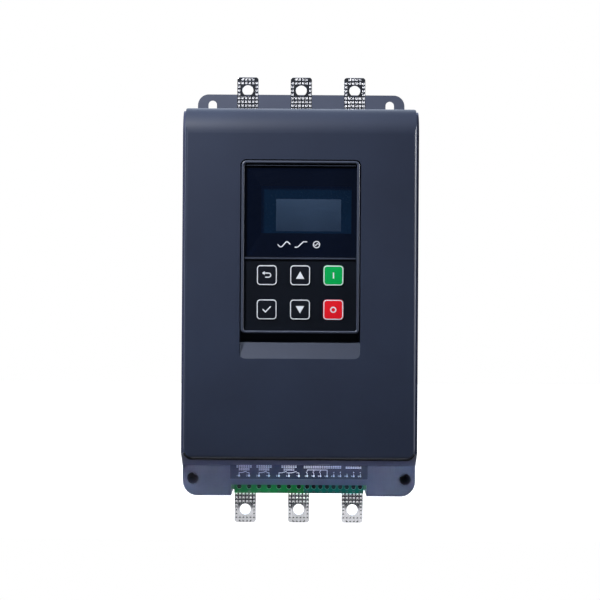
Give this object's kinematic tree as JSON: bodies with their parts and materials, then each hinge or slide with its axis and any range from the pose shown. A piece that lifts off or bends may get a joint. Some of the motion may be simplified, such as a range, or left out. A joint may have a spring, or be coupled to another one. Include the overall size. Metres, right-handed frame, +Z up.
{
  "type": "motor soft starter",
  "caption": "Wall-mounted three-phase motor soft starter: moulded housing with rolled front cover, pull-out keypad with display, screw terminals and flat busbars.",
  "frame": {"origin": "on the wall face of the back plate, on the middle line and half way between the ends of the busbars", "axes": "+X to the right of someone who faces the keypad, +Y into the wall, +Z up"},
  "size_m": [0.178, 0.165, 0.3506],
  "materials": {
    "painted_plate": "satin powder coat",
    "heatsink_alloy": "extruded",
    "zinc_steel": "zinc plated",
    "module_case": "moulded",
    "plated_copper": "bright nickel plated",
    "relay_case": "moulded",
    "core_resin": "cast resin",
    "circuit_board": "solder mask",
    "winding_tape": "tape",
    "relay_blue": "moulded",
    "capacitor_sleeve": "shrink sleeve",
    "terminal_green": "moulded",
    "terminal_teal": "moulded",
    "ribbon_grey": "extruded",
    "connector_black": "moulded",
    "housing_plastic": "fine textured moulding",
    "label_film": "printed film",
    "keypad_plastic": "fine textured moulding",
    "overlay_film": "satin film",
    "window_tint": "polished",
    "lcd_glass": "glass front",
    "switch_black": "moulded",
    "key_black": "satin",
    "key_green": "satin",
    "key_red": "satin"
  },
  "bodies": {
    "housing": {"back_plate": "painted_plate", "heatsink": "heatsink_alloy", "heatsink_screws": "zinc_steel", "housing_posts": "zinc_steel", "module_screws": "zinc_steel", "terminal_screws": "zinc_steel", "relay_screws": "zinc_steel", "board_standoffs": "zinc_steel", "board_screws": "zinc_steel", "relay_terminal_screws": "zinc_steel", "signal_terminal_screws": "zinc_steel", "housing_screws": "zinc_steel", "control_board": "circuit_board", "control_transformer": "winding_tape", "output_relays": "relay_blue", "board_capacitors": "capacitor_sleeve", "relay_terminal_block": "terminal_green", "signal_terminal_block": "terminal_teal", "keypad_header": "connector_black", "keypad_cable": "ribbon_grey", "keypad_socket": "connector_black", "housing_base": "housing_plastic", "front_cover": "housing_plastic", "terminal_label": "label_film", "thyristor_module_1": "module_case", "line_busbar_1": "plated_copper", "load_busbar_1": "plated_copper", "bypass_relay_1": "relay_case", "current_transformer_1": "core_resin", "thyristor_module_2": "module_case", "line_busbar_2": "plated_copper", "load_busbar_2": "plated_copper", "bypass_relay_2": "relay_case", "current_transformer_2": "core_resin", "thyristor_module_3": "module_case", "line_busbar_3": "plated_copper", "load_busbar_3": "plated_copper", "bypass_relay_3": "relay_case", "current_transformer_3": "core_resin"},
    "keypad": {"keypad_frame": "keypad_plastic", "keypad_back": "keypad_plastic", "keypad_screws": "zinc_steel", "keypad_board": "circuit_board", "key_switches": "switch_black", "lcd_module": "lcd_glass", "display_window": "window_tint", "key_overlay": "overlay_film", "keypad_plug": "connector_black"},
    "return_key": {"return_key": "key_black"},
    "set_key": {"set_key": "key_black"},
    "up_key": {"up_key": "key_black"},
    "down_key": {"down_key": "key_black"},
    "run_key": {"run_key": "key_green"},
    "stop_key": {"stop_key": "key_red"}
  },
  "joints": [
    {"name": "keypad_pull", "type": "slide", "parent": "housing", "child": "keypad", "axis": [0, -1, 0], "range_m": [0, 0.028]},
    {"name": "return_key_press", "type": "slide", "parent": "keypad", "child": "return_key", "axis": [0, 1, 0], "range_m": [0, 0.0006], "stiffness_N_per_m": 1500},
    {"name": "set_key_press", "type": "slide", "parent": "keypad", "child": "set_key", "axis": [0, 1, 0], "range_m": [0, 0.0006], "stiffness_N_per_m": 1500},
    {"name": "up_key_press", "type": "slide", "parent": "keypad", "child": "up_key", "axis": [0, 1, 0], "range_m": [0, 0.0006], "stiffness_N_per_m": 1500},
    {"name": "down_key_press", "type": "slide", "parent": "keypad", "child": "down_key", "axis": [0, 1, 0], "range_m": [0, 0.0006], "stiffness_N_per_m": 1500},
    {"name": "run_key_press", "type": "slide", "parent": "keypad", "child": "run_key", "axis": [0, 1, 0], "range_m": [0, 0.0006], "stiffness_N_per_m": 1500},
    {"name": "stop_key_press", "type": "slide", "parent": "keypad", "child": "stop_key", "axis": [0, 1, 0], "range_m": [0, 0.0006], "stiffness_N_per_m": 1500}
  ]
}
